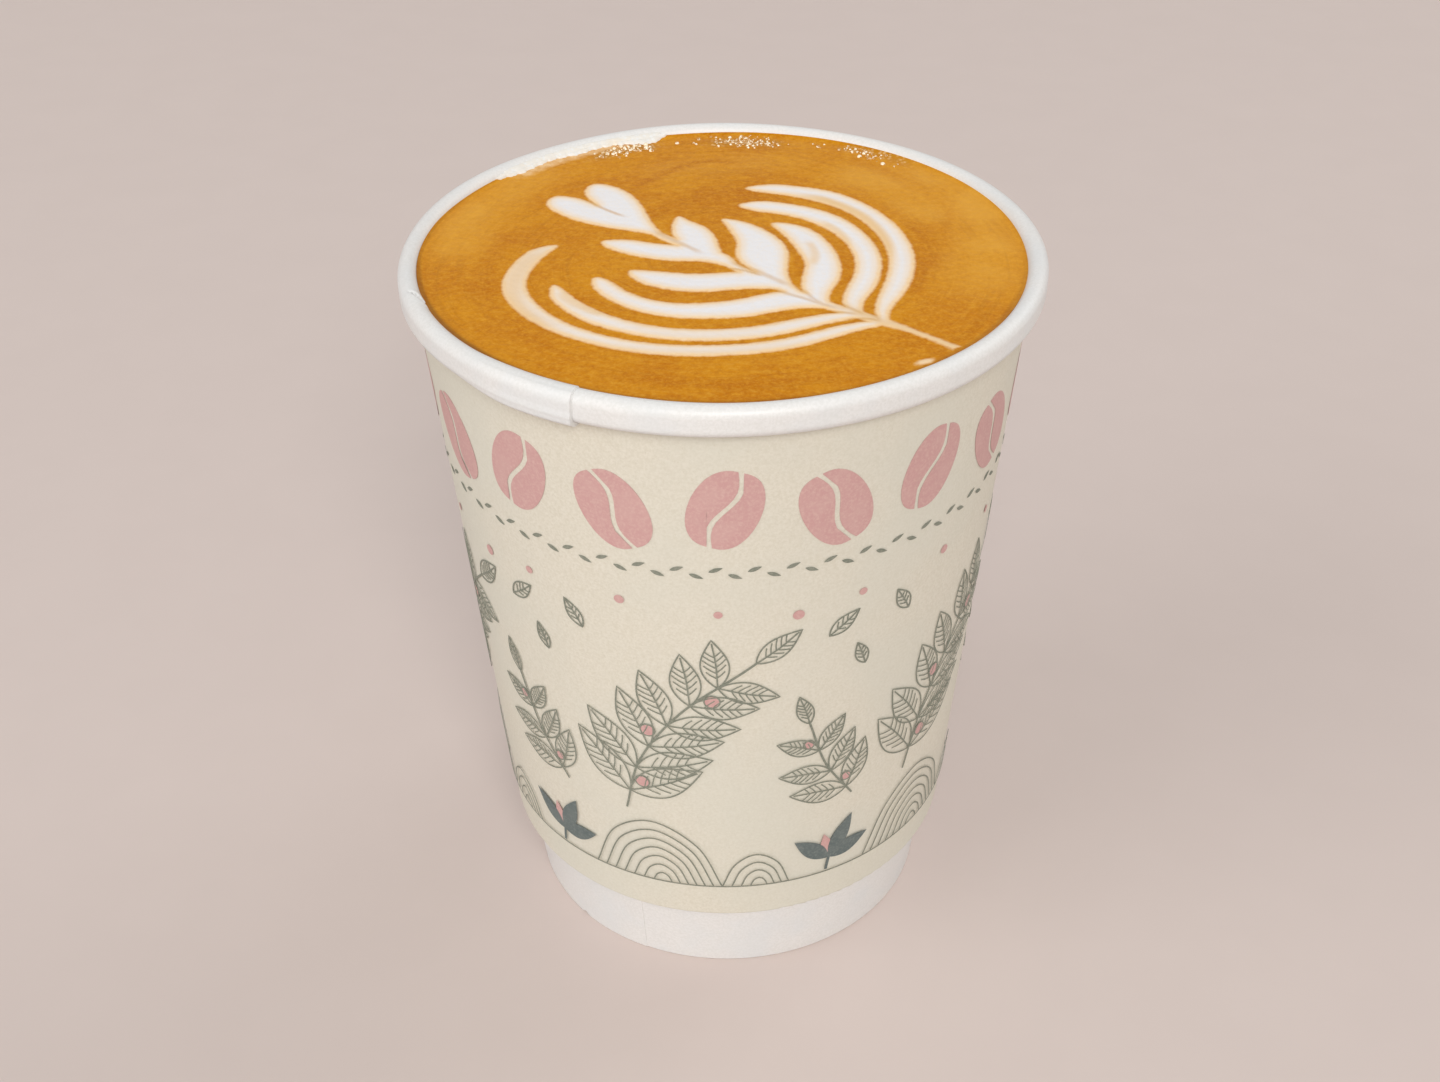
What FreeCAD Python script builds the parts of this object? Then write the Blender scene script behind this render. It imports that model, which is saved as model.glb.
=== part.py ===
import FreeCAD, Part
import os
import Sketcher

# A cappuccino in a double-wall paper cup.
# Origin: centre of the foot ring on the table. +Z is the cup's axis, -Y its printed front.
# Every size below is in millimetres or degrees and can be changed by itself.

Vector = FreeCAD.Vector

SIZES = (
    # the paper cup
    ("cup_height", 110.0),
    ("rim_radius", 45.0),
    ("foot_radius", 32.0),
    ("cup_paper", 0.35),
    ("rim_width", 2.8),
    ("rim_drop", 4.15),
    ("curl_gap", 0.25),
    ("fold_gap", 1.0),
    ("foot_round", 0.3),
    # the disc that closes the cup
    ("base_height", 7.0),
    ("base_paper", 0.4),
    # the outer wrap
    ("wrap_paper", 0.35),
    ("wrap_stand_off", 2.1),
    ("hem_line", 14.6),
    ("hem_round", 0.5),
    ("hem_height", 2.5),
    ("wrap_top_gap", 0.15),
    # glued laps of the two paper blanks
    ("lap_paper", 0.3),
    ("seam_turn", 114.3),
    ("cup_lap_turn", 12.0),
    ("rim_lap_start", 135.0),
    ("wrap_seam_turn", 82.0),
    ("wrap_lap_turn", 15.0),
    # the drink
    ("drink_drop", 1.2),
    ("foam_depth", 1.2),
    ("foam_rise", 0.1),
    ("foam_drift", 2.1),
    ("fit_gap", 0.02),
)

# Strokes of the poured leaf pattern, each from its free tip to its root on the stem.
# A station is x, y and the stroke's width there, on a drink of ART_RADIUS.
ART_RADIUS = 42.2
LEAVES = {
    "heart_left": ((-25.3, 17.2, 0), (-24.7, 16.1, 3.5), (-22.8, 13.9, 5.4),
                   (-19.6, 11.0, 5.5), (-15.3, 8.3, 4.7), (-9.6, 4.3, 0.9)),
    "heart_right": ((-19.8, 21.7, 0), (-19.2, 20.5, 3.5), (-17.6, 17.9, 5.6),
                    (-15.3, 13.9, 5.8), (-13.2, 9.4, 4.6), (-9.0, 3.8, 0.9)),
    "left_1": ((-17.0, 1.3, 0), (-15.3, 0.7, 2.9), (-11.5, -0.9, 4.3),
               (-7.0, -2.3, 4.7), (-3.0, -3.0, 4.0), (1.5, -6.8, 1.2)),
    "left_2": ((-12.6, -7.8, 0), (-11.3, -8.8, 2.6), (-8.3, -10.4, 4.5),
               (-3.4, -11.5, 5.2), (1.5, -11.0, 5.0), (9.0, -13.8, 1.0)),
    "left_3": ((-17.1, -9.7, 0), (-16.5, -10.8, 2.0), (-15.1, -13.2, 2.9),
               (-12.1, -16.4, 3.2), (-7.5, -18.8, 3.6), (-2.0, -19.3, 4.2),
               (3.0, -18.5, 4.8), (7.5, -16.8, 5.0), (14.0, -18.6, 1.0)),
    "left_4": ((-22.5, -11.8, 0), (-22.0, -13.4, 1.7), (-20.2, -16.7, 2.6),
               (-16.7, -20.5, 3.0), (-12.0, -23.4, 2.8), (-6.5, -25.2, 2.8),
               (-0.5, -25.6, 2.9), (5.5, -24.6, 3.0), (10.6, -22.6, 2.8), (18.0, -20.8, 1.0)),
    "left_5": ((-23.3, 0.2, 0), (-24.7, -0.9, 1.9), (-26.6, -4.0, 2.8),
               (-27.8, -8.5, 3.0), (-27.6, -13.0, 3.0), (-25.6, -17.5, 2.9),
               (-22.2, -21.8, 2.7), (-17.2, -25.6, 2.5), (-11.5, -28.1, 2.5),
               (-4.5, -29.4, 2.6), (2.5, -29.2, 2.6), (8.6, -27.7, 2.6), (13.6, -25.3, 2.4),
               (20.5, -22.9, 1.0)),
    "right_1": ((-6.3, 9.6, 0), (-6.0, 8.0, 2.1), (-4.9, 5.2, 4.7),
                (-3.6, 2.0, 5.2), (-2.3, -1.0, 3.8), (2.6, -7.7, 1.0)),
    "right_2": ((0.2, 8.5, 0), (1.5, 7.2, 2.3), (3.4, 4.6, 4.3),
                (5.0, 1.1, 5.9), (5.5, -2.6, 7.1), (6.2, -6.5, 5.6), (9.8, -14.4, 1.0)),
    "right_3": ((7.4, 7.0, 0), (9.0, 5.7, 2.6), (11.3, 2.8, 4.4), (12.9, -1.5, 4.8),
                (13.7, -6.0, 4.7), (13.1, -10.7, 4.8), (12.4, -14.6, 3.4), (13.6, -18.4, 1.0)),
    "right_4": ((2.6, 13.5, 0), (4.3, 13.3, 2.6), (8.3, 12.4, 3.6), (12.8, 10.1, 3.9),
                (16.6, 6.2, 3.9), (19.1, 1.0, 3.6), (20.0, -4.0, 3.5), (19.6, -9.0, 3.4),
                (18.0, -14.0, 3.3), (16.9, -17.5, 2.5), (17.7, -20.8, 1.0)),
    "right_5": ((3.8, 19.7, 0), (5.7, 19.6, 2.1), (10.0, 18.8, 3.3), (14.8, 16.7, 4.0),
                (19.5, 12.5, 3.7), (22.7, 7.0, 3.6), (24.4, 1.0, 3.5), (24.7, -5.0, 3.4),
                (23.7, -10.6, 3.3), (22.1, -15.2, 2.9), (20.6, -19.3, 1.9), (20.6, -22.7, 1.0)),
    "stem": ((-10.6, 5.6, 1.0), (-8.5, 3.0, 1.3), (-5.5, 0.2, 1.4), (3.0, -8.2, 1.5),
             (12.5, -17.2, 1.7), (20.5, -22.9, 1.7), (24.5, -25.8, 1.4), (28.6, -29.6, 1.6)),
}

doc = FreeCAD.newDocument("cappuccino")
sheet = doc.addObject("Spreadsheet::Sheet", "sizes")
for row, (alias, value) in enumerate(SIZES, start=1):
    sheet.set(f"A{row}", alias)
    sheet.set(f"B{row}", str(value))
    sheet.setAlias(f"B{row}", alias)
doc.recompute()

# Places on the cup's section, as expressions in the sheet's cells.
RIM_ROUND = "(sizes.rim_width / 2)"
RIM_CORE = "(sizes.rim_width / 2 - sizes.cup_paper)"
RIM_X = "(sizes.rim_radius - sizes.rim_width / 2)"
RIM_TOP_Z = "(sizes.cup_height - sizes.rim_width / 2)"
RIM_LOW_Z = "(sizes.cup_height - sizes.rim_drop + sizes.rim_width / 2)"
LIP_X = "(sizes.rim_radius - sizes.rim_width)"
NECK_Z = "(sizes.cup_height - sizes.rim_drop)"
LEAN = f"(({LIP_X} + sizes.cup_paper - sizes.foot_radius) / {NECK_Z})"
SLOT = "(sizes.base_paper + 2 * sizes.fit_gap)"
WRAP_TOP_Z = f"({NECK_Z} - sizes.wrap_top_gap)"
FOLD_Z = "(sizes.base_height - sizes.fold_gap)"
LEVEL_Z = "(sizes.cup_height - sizes.drink_drop)"
BASE_TOP_Z = "(sizes.base_height + sizes.base_paper)"
# The rim curls in underneath until its outer face is curl_gap from the wall.
CURL_TURN = f"(-acos((sizes.cup_paper + sizes.curl_gap) / {RIM_ROUND} - 1))"


def outside(height):
    """Radius of the cup wall's outer face at a height."""
    return f"(sizes.foot_radius + {LEAN} * {height})"


def inside(height):
    """Radius of the cup wall's inner face at a height."""
    return f"({outside(height)} - sizes.cup_paper)"


WRAP_TOP_X = f"({outside(WRAP_TOP_Z)} + sizes.fit_gap + sizes.wrap_paper)"
WRAP_LOW_X = f"({outside('sizes.hem_line')} + sizes.wrap_stand_off)"
SEAT_X = f"({outside('sizes.hem_line')} + sizes.fit_gap)"
HEM_TOP_Z = "(sizes.hem_line + sizes.hem_height)"


def number(expression):
    """Value of an expression in the sheet's cells."""
    return float(sheet.evalExpression(expression))


def bind(sketch, constraint, expression):
    """Add a constraint to a sketch and tie its value to the sheet."""
    index = sketch.addConstraint(constraint)
    sketch.setExpression(f"Constraints[{index}]", expression)


def place(sketch, element, point, x, z):
    """Tie a point of a sketch element to the coordinates given; None leaves one free."""
    if x is not None:
        bind(sketch, Sketcher.Constraint("DistanceX", -1, 1, element, point, number(x)), x)
    if z is not None:
        bind(sketch, Sketcher.Constraint("DistanceY", -1, 1, element, point, number(z)), z)


def arc_end(centre, radius, turn):
    """Coordinates on a circle, at an angle from +X."""
    return (f"({centre[0]} + {radius} * cos({turn}))", f"({centre[1]} + {radius} * sin({turn}))")


def profile(body, name, start, steps):
    """Closed half section in the body's XZ plane.

    Each step is a line, (x, z), or an arc, (x, z, centre, radius, clockwise). An arc's start and
    centre already give its radius, so its end is tied by one coordinate: its height, or its x
    near the arc's top or bottom.
    """
    sketch = body.newObject("Sketcher::SketchObject", name)
    plane = [f for f in body.Origin.OriginFeatures if f.Role == "XZ_Plane"][0]
    sketch.AttachmentSupport = [(plane, "")]
    sketch.MapMode = "FlatFace"
    here = Vector(number(start[0]), number(start[1]), 0)
    first_end = None
    last_end = None
    for step in steps:
        there = Vector(number(step[0]), number(step[1]), 0)
        if len(step) == 2:
            element = sketch.addGeometry(Part.LineSegment(here, there), False)
            begin, end = 1, 2
            if (here - there).Length > 0:
                place(sketch, element, end, step[0], step[1])
        else:
            centre, radius, clockwise = step[2:]
            middle = Vector(number(centre[0]), number(centre[1]), 0)
            circle = Part.Circle(middle, Vector(0, 0, 1), number(radius))
            ends = (circle.parameter(here), circle.parameter(there))
            begin, end = (2, 1) if clockwise else (1, 2)
            arc = Part.ArcOfCircle(circle, ends[begin - 1], ends[end - 1])
            element = sketch.addGeometry(arc, False)
            place(sketch, element, 3, centre[0], centre[1])
            upright = abs(there.y - middle.y) > abs(there.x - middle.x)
            place(sketch, element, end, step[0] if upright else None, None if upright else step[1])
        if last_end is None:
            first_end = (element, begin)
        else:
            sketch.addConstraint(Sketcher.Constraint("Coincident", *last_end, element, begin))
        last_end = (element, end)
        here = there
    sketch.addConstraint(Sketcher.Constraint("Coincident", *last_end, *first_end))
    return sketch


def revolve(body, name, sketch):
    """Turn a half section about the cup's axis."""
    feature = body.newObject("PartDesign::Revolution", name)
    feature.Profile = sketch
    feature.ReferenceAxis = (sketch, ["V_Axis"])
    feature.Angle = 360.0
    sketch.Visibility = False
    return feature


def lap(body, name, sketch, seam, turn, clockwise):
    """Second layer of paper over an arc that starts at the seam, in the sense given from above."""
    sketch.AttachmentOffset = FreeCAD.Placement(
        Vector(0, 0, 0), FreeCAD.Rotation(Vector(0, -1 if clockwise else 1, 0), number(seam)))
    sketch.setExpression("AttachmentOffset.Rotation.Angle", seam)
    feature = revolve(body, name, sketch)
    feature.setExpression("Angle", turn)
    feature.Reversed = clockwise


def edges_at(shape, height):
    """Names of the circles of a shape that lie at a height."""
    names = []
    for index, edge in enumerate(shape.Edges, start=1):
        box = edge.BoundBox
        flat = abs(box.ZMin - height) < 1e-6 and abs(box.ZMax - height) < 1e-6
        if flat and isinstance(edge.Curve, Part.Circle):
            names.append(f"Edge{index}")
    return names


def cup_wall():
    """One strip of paper: folded foot, sloping wall and hollow rolled rim."""
    body = doc.addObject("PartDesign::Body", "cup_wall")
    top = (RIM_X, RIM_TOP_Z)
    low = (RIM_X, RIM_LOW_Z)
    core_left = f"({LIP_X} + sizes.cup_paper)"
    core_right = "(sizes.rim_radius - sizes.cup_paper)"
    fold_x = f"({inside(FOLD_Z)} - {SLOT})"
    slot_x = f"({inside('sizes.cup_paper')} - {SLOT})"
    foot_inner = f"({inside('0')} - {SLOT} - sizes.cup_paper)"
    curl_inner = arc_end(low, RIM_CORE, CURL_TURN)
    curl_outer = arc_end(low, RIM_ROUND, CURL_TURN)
    section = profile(body, "wall_section", (foot_inner, "0"), (
        ("sizes.foot_radius", "0"),
        (core_left, NECK_Z),
        (core_left, RIM_TOP_Z),
        (core_right, RIM_TOP_Z, top, RIM_CORE, True),
        (core_right, RIM_LOW_Z),
        (*curl_inner, low, RIM_CORE, True),
        curl_outer,
        ("sizes.rim_radius", RIM_LOW_Z, low, RIM_ROUND, False),
        ("sizes.rim_radius", RIM_TOP_Z),
        (LIP_X, RIM_TOP_Z, top, RIM_ROUND, False),
        (LIP_X, NECK_Z),
        (inside("sizes.cup_paper"), "sizes.cup_paper"),
        (slot_x, "sizes.cup_paper"),
        (fold_x, FOLD_Z),
        (f"({fold_x} - sizes.cup_paper)", FOLD_Z),
        (foot_inner, "0"),
    ))
    wall = revolve(body, "wall", section)
    doc.recompute()
    rounded = body.newObject("PartDesign::Fillet", "foot_rounding")
    rounded.Base = (wall, edges_at(wall.Shape, 0.0))
    rounded.setExpression("Radius", "sizes.foot_round")
    doc.recompute()
    buried = f"({RIM_ROUND} - sizes.cup_paper / 2)"
    raised = f"({RIM_ROUND} + sizes.lap_paper)"
    rim_lap = profile(body, "rim_lap_section", arc_end(top, buried, "sizes.rim_lap_start"), (
        (f"({RIM_X} + {buried})", RIM_TOP_Z, top, buried, True),
        (f"({RIM_X} + {buried})", RIM_LOW_Z),
        (*arc_end(low, buried, CURL_TURN), low, buried, True),
        arc_end(low, raised, CURL_TURN),
        (f"({RIM_X} + {raised})", RIM_LOW_Z, low, raised, False),
        (f"({RIM_X} + {raised})", RIM_TOP_Z),
        (*arc_end(top, raised, "sizes.rim_lap_start"), top, raised, False),
        arc_end(top, buried, "sizes.rim_lap_start"),
    ))
    lap(body, "rim_lap", rim_lap, "sizes.seam_turn", "sizes.cup_lap_turn", True)
    lap_top = "(sizes.hem_line - sizes.hem_round - sizes.lap_paper)"
    lap_low = "sizes.foot_round"
    foot_lap = profile(body, "foot_lap_section", (f"({outside(lap_low)} - sizes.cup_paper / 2)", lap_low), (
        (f"({outside(lap_low)} + sizes.lap_paper)", lap_low),
        (f"({outside(lap_top)} + sizes.lap_paper)", lap_top),
        (f"({outside(lap_top)} - sizes.cup_paper / 2)", lap_top),
        (f"({outside(lap_low)} - sizes.cup_paper / 2)", lap_low),
    ))
    lap(body, "foot_lap", foot_lap, "sizes.seam_turn", "sizes.cup_lap_turn", True)
    return body


def cup_base():
    """Disc that closes the cup, its flange held in the folded foot."""
    body = doc.addObject("PartDesign::Body", "cup_base")
    flange_z = "(sizes.cup_paper + sizes.fit_gap)"
    inner_low = f"({inside(flange_z)} - sizes.fit_gap - sizes.base_paper)"
    inner_top = f"({inside('sizes.base_height')} - sizes.fit_gap - sizes.base_paper)"
    section = profile(body, "base_section", ("0", "sizes.base_height"), (
        (inner_top, "sizes.base_height"),
        (inner_low, flange_z),
        (f"({inside(flange_z)} - sizes.fit_gap)", flange_z),
        (f"({inside(BASE_TOP_Z)} - sizes.fit_gap)", BASE_TOP_Z),
        ("0", BASE_TOP_Z),
        ("0", "sizes.base_height"),
    ))
    revolve(body, "base", section)
    return body


def outer_wrap():
    """Printed outer layer: a cone glued under the rim, its hem folded in and up against the wall."""
    body = doc.addObject("PartDesign::Body", "outer_wrap")
    outer_fold = (f"({WRAP_LOW_X} - sizes.hem_round)", "sizes.hem_line")
    inner_fold = (f"({SEAT_X} + sizes.hem_round)", "sizes.hem_line")
    fold_core = "(sizes.hem_round - sizes.wrap_paper)"
    hem_floor = f"(sizes.hem_line - {fold_core})"
    hem_low = "(sizes.hem_line - sizes.hem_round)"
    seat_top = f"({outside(HEM_TOP_Z)} + sizes.fit_gap)"
    section = profile(body, "wrap_section", (WRAP_TOP_X, WRAP_TOP_Z), (
        (f"({WRAP_TOP_X} - sizes.wrap_paper)", WRAP_TOP_Z),
        (f"({WRAP_LOW_X} - sizes.wrap_paper)", "sizes.hem_line"),
        (outer_fold[0], hem_floor, outer_fold, fold_core, True),
        (inner_fold[0], hem_floor),
        (f"({SEAT_X} + sizes.wrap_paper)", "sizes.hem_line", inner_fold, fold_core, True),
        (f"({seat_top} + sizes.wrap_paper)", HEM_TOP_Z),
        (seat_top, HEM_TOP_Z),
        (SEAT_X, "sizes.hem_line"),
        (inner_fold[0], hem_low, inner_fold, "sizes.hem_round", False),
        (outer_fold[0], hem_low),
        (WRAP_LOW_X, "sizes.hem_line", outer_fold, "sizes.hem_round", False),
        (WRAP_TOP_X, WRAP_TOP_Z),
    ))
    revolve(body, "wrap", section)
    doc.recompute()
    buried_low = f"({WRAP_LOW_X} - sizes.wrap_paper / 2)"
    buried_top = f"({WRAP_TOP_X} - sizes.wrap_paper / 2)"
    wrap_lap = profile(body, "wrap_lap_section", (buried_low, "sizes.hem_line"), (
        (f"({WRAP_LOW_X} + sizes.lap_paper)", "sizes.hem_line"),
        (f"({WRAP_TOP_X} + sizes.lap_paper)", WRAP_TOP_Z),
        (buried_top, WRAP_TOP_Z),
        (buried_low, "sizes.hem_line"),
    ))
    lap(body, "wrap_lap", wrap_lap, "sizes.wrap_seam_turn", "sizes.wrap_lap_turn", False)
    return body


def smooth(points):
    """Smooth curve through points."""
    curve = Part.BSplineCurve()
    curve.interpolate(points)
    return curve


def drifted(x, y, scale):
    """Point of the pattern on the drink: it has drifted back, most at mid-cup and not at the wall."""
    drift = number("sizes.foam_drift")
    spread = 1 + drift * y / ART_RADIUS ** 2
    return Vector(x, y + drift, 0) * (scale / spread)


def stroke(stations, scale):
    """Face of one poured stroke: a smooth outline at half the width each side of its spine.

    A stroke whose first width is 0 has a rounded tip there; any other starts square.
    """
    spine = smooth([drifted(x, y, scale) for x, y, width in stations])
    left = []
    right = []
    for x, y, width in stations:
        point = drifted(x, y, scale)
        along = spine.tangent(spine.parameter(point))[0]
        across = Vector(-along.y, along.x, 0) * (width * scale / 2)
        left.append(point + across)
        right.append(point - across)
    if stations[0][2] == 0:
        outline = smooth(left[::-1] + right[1:])
        half = len(stations) // 2
        corners = (left[-1], left[half], left[1], right[1], right[half], right[-1])
        cuts = [outline.parameter(corner) for corner in corners]
        sides = [outline.toShape(begin, end) for begin, end in zip(cuts, cuts[1:])]
    else:
        start = Part.LineSegment(left[0], right[0])
        sides = [smooth(left[::-1]).toShape(), start.toShape(), smooth(right).toShape()]
    sides.append(Part.LineSegment(right[-1], left[-1]).toShape())
    return Part.Face(Part.Wire(sides))


def milk_foam():
    """Poured leaf and heart, one raft of foam set into the drink."""
    scale = number(f"({LIP_X} - sizes.fit_gap)") / ART_RADIUS
    depth = number("sizes.foam_depth")
    thick = depth + number("sizes.foam_rise")
    strokes = [stroke(stations, scale).extrude(Vector(0, 0, thick)) for stations in LEAVES.values()]
    raft = strokes[0].multiFuse(strokes[1:]).removeSplitter()
    foam = doc.addObject("Part::Feature", "milk_foam")
    foam.Shape = raft.Solids[0] if len(raft.Solids) == 1 else raft
    foam.Placement = FreeCAD.Placement(Vector(0, 0, number(LEVEL_Z) - depth), FreeCAD.Rotation())
    return foam


def coffee(foam):
    """Drink that fills the cup from the disc to its level, with a bed for the foam."""
    body = doc.addObject("PartDesign::Body", "drink_fill")
    bottom_z = f"({BASE_TOP_Z} + sizes.fit_gap)"
    side_x = f"({LIP_X} - sizes.fit_gap)"
    section = profile(body, "drink_section", ("0", bottom_z), (
        (f"({inside(bottom_z)} - sizes.fit_gap)", bottom_z),
        (side_x, NECK_Z),
        (side_x, LEVEL_Z),
        ("0", LEVEL_Z),
        ("0", bottom_z),
    ))
    revolve(body, "drink", section)
    doc.recompute()
    drink = doc.addObject("Part::Cut", "coffee")
    drink.Base = body
    drink.Tool = foam
    return drink


def check(nodes):
    """Stop with a message if any object failed or a node has no sound solid."""
    for item in doc.Objects:
        if {"Invalid", "Error"} & set(item.State):
            raise RuntimeError(f"{item.Name} failed: {item.State}")
    for node in nodes:
        if node.Shape.isNull() or not node.Shape.isValid():
            raise RuntimeError(f"{node.Label} has no valid shape")
        if len(node.Shape.Solids) != 1:
            raise RuntimeError(f"{node.Label} is {len(node.Shape.Solids)} solids")


def main():
    foam = milk_foam()
    nodes = [cup_wall(), cup_base(), outer_wrap(), coffee(foam), foam]
    doc.recompute()
    check(nodes)
    os.makedirs("parts", exist_ok=True)
    for node in nodes:
        node.Shape.exportStep(f"parts/{node.Label}.step")
        box = node.Shape.BoundBox
        print(f"{node.Label}: {node.Shape.Volume / 1000:.2f} cm3, x {box.XMin:.2f} to {box.XMax:.2f}, "
              f"y {box.YMin:.2f} to {box.YMax:.2f}, z {box.ZMin:.2f} to {box.ZMax:.2f}")


main()
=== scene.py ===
"""A cappuccino in a printed double-wall paper cup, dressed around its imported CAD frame.

Sizes are in millimetres and angles in degrees unless a comment says otherwise.
"""

import math

import bpy
import numpy as np
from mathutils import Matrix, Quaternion, Vector


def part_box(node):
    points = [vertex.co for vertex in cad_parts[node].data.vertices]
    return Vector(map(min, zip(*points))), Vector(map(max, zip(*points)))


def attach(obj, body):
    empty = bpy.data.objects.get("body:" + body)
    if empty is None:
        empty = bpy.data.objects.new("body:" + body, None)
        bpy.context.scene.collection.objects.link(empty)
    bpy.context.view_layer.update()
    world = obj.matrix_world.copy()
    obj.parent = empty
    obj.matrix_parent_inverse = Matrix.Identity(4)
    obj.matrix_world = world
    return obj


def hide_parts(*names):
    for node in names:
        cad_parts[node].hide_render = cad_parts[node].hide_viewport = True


MM = 0.001

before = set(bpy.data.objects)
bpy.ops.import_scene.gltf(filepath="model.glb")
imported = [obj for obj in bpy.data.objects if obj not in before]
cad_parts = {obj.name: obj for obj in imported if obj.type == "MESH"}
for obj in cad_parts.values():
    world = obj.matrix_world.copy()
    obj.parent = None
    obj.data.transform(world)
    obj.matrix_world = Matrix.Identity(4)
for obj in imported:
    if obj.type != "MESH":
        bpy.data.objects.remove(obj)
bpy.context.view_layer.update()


# ---- places read from the frame

def vertices(node):
    """Vertices of a CAD node as an array, in millimetres."""
    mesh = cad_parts[node].data
    places = np.empty(len(mesh.vertices) * 3)
    mesh.vertices.foreach_get("co", places)
    return places.reshape(-1, 3) / MM


def radius_near(node, height, reach=1.0):
    """Largest distance from the axis of a node's vertices near a height."""
    places = vertices(node)
    near = places[np.abs(places[:, 2] - height) < reach]
    return float(np.hypot(near[:, 0], near[:, 1]).max())


drink_low, drink_high = (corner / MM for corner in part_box("coffee"))
LEVEL = drink_high.z
DRINK_RADIUS = drink_high.x
DRINK_FLOOR = drink_low.z
DRINK_FLOOR_RADIUS = radius_near("coffee", DRINK_FLOOR)
FOAM_TOP = (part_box("milk_foam")[1] / MM).z
wrap_low, wrap_high = (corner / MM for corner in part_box("outer_wrap"))
HEM_FOLD = 0.5
WRAP_TOP = wrap_high.z
WRAP_TOP_RADIUS = wrap_high.x
WRAP_BOTTOM = wrap_low.z + HEM_FOLD
# The bottom radius is the one over the outer layer's lap, 0.3 more than beside it.
WRAP_BOTTOM_RADIUS = radius_near("outer_wrap", WRAP_BOTTOM, 0.1)
CUP_RADIUS = (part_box("cup_wall")[1] / MM).x
# The cup's lap is in front, so its plain height and foot are read from the back half.
behind = vertices("cup_wall")
behind = behind[behind[:, 1] > 0]
CUP_TOP = float(behind[:, 2].max())
FOOT_BAND = 0.5
FOOT_RADIUS = float(np.hypot(*behind[behind[:, 2] < FOOT_BAND][:, :2].T).max())


# ---- materials

def linear(red, green, blue):
    """Scene-linear colour of an sRGB colour given in 0 to 255."""
    def one(value):
        share = value / 255
        return share / 12.92 if share <= 0.04045 else ((share + 0.055) / 1.055) ** 2.4
    return (one(red), one(green), one(blue), 1.0)


class Nodes:
    """Short calls for the nodes of one material. Distances are in metres."""

    def __init__(self, name):
        self.material = bpy.data.materials.new(name)
        self.material.use_nodes = True
        self.tree = self.material.node_tree
        self.shader = self.tree.nodes["Principled BSDF"]
        self.place = self.tree.nodes.new("ShaderNodeTexCoord").outputs["Object"]

    def set(self, target, value):
        """Link an output to an input, or write a plain value into it."""
        if isinstance(value, bpy.types.NodeSocket):
            self.tree.links.new(value, target)
        else:
            target.default_value = value

    def attribute(self, name):
        node = self.tree.nodes.new("ShaderNodeAttribute")
        node.attribute_name = name
        return node.outputs["Fac"]

    def stretch(self, vector, scale):
        node = self.tree.nodes.new("ShaderNodeMapping")
        self.set(node.inputs["Vector"], vector)
        node.inputs["Scale"].default_value = scale
        return node.outputs["Vector"]

    def vector(self, x, y, z):
        node = self.tree.nodes.new("ShaderNodeCombineXYZ")
        for socket, value in zip(node.inputs, (x, y, z)):
            self.set(socket, value)
        return node.outputs["Vector"]

    def noise(self, scale, detail, roughness=0.55, distortion=0.0, vector=None):
        """Noise about 0.5; scale is features per metre, or per unit of a vector that is given."""
        node = self.tree.nodes.new("ShaderNodeTexNoise")
        self.set(node.inputs["Vector"], self.place if vector is None else vector)
        node.inputs["Scale"].default_value = scale
        node.inputs["Detail"].default_value = detail
        node.inputs["Roughness"].default_value = roughness
        node.inputs["Distortion"].default_value = distortion
        return node.outputs["Fac"]

    def cells(self, scale):
        """Distance to the nearest of scattered points."""
        node = self.tree.nodes.new("ShaderNodeTexVoronoi")
        self.set(node.inputs["Vector"], self.place)
        node.inputs["Scale"].default_value = scale
        return node.outputs["Distance"]

    def maths(self, operation, first, second):
        node = self.tree.nodes.new("ShaderNodeMath")
        node.operation = operation
        self.set(node.inputs[0], first)
        self.set(node.inputs[1], second)
        return node.outputs[0]

    def ramp(self, value, low, high, start=0.0, end=1.0):
        """Smooth step of a value, from start at low to end at high."""
        node = self.tree.nodes.new("ShaderNodeMapRange")
        node.interpolation_type = "SMOOTHSTEP"
        for name, number in (("Value", value), ("From Min", low), ("From Max", high),
                             ("To Min", start), ("To Max", end)):
            self.set(node.inputs[name], number)
        return node.outputs["Result"]

    def mix(self, share, first, second):
        """Colour that is the first at a share of 0 and the second at 1."""
        node = self.tree.nodes.new("ShaderNodeMix")
        node.data_type = "RGBA"
        colours = [socket for socket in node.inputs if socket.type == "RGBA"]
        self.set(node.inputs["Factor"], share)
        self.set(colours[0], first)
        self.set(colours[1], second)
        return [socket for socket in node.outputs if socket.type == "RGBA"][0]

    def between(self, value, low, high, first, second):
        """Colour that goes from the first at low to the second at high, both sRGB."""
        return self.mix(self.ramp(value, low, high), linear(*first), linear(*second))

    def layer(self, under, value, low, high, most, colour):
        """Colour with an sRGB one over it, which reaches a share of most where a value is high."""
        return self.mix(self.ramp(value, low, high, 0.0, most), under, linear(*colour))

    def bump(self, height, strength, distance, under=None):
        """Normal from a height, over the normal of an earlier bump if there is one."""
        node = self.tree.nodes.new("ShaderNodeBump")
        self.set(node.inputs["Height"], height)
        node.inputs["Strength"].default_value = strength
        node.inputs["Distance"].default_value = distance
        if under is not None:
            self.set(node.inputs["Normal"], under)
        return node.outputs["Normal"]

    def finish(self, colour, roughness, normal=None, **constants):
        """Wire the shader; constants are socket names with spaces as underscores."""
        self.set(self.shader.inputs["Base Color"], colour)
        self.set(self.shader.inputs["Roughness"], roughness)
        if normal is not None:
            self.set(self.shader.inputs["Normal"], normal)
        for name, value in constants.items():
            self.shader.inputs[name.replace("_", " ")].default_value = value
        return self.material


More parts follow.
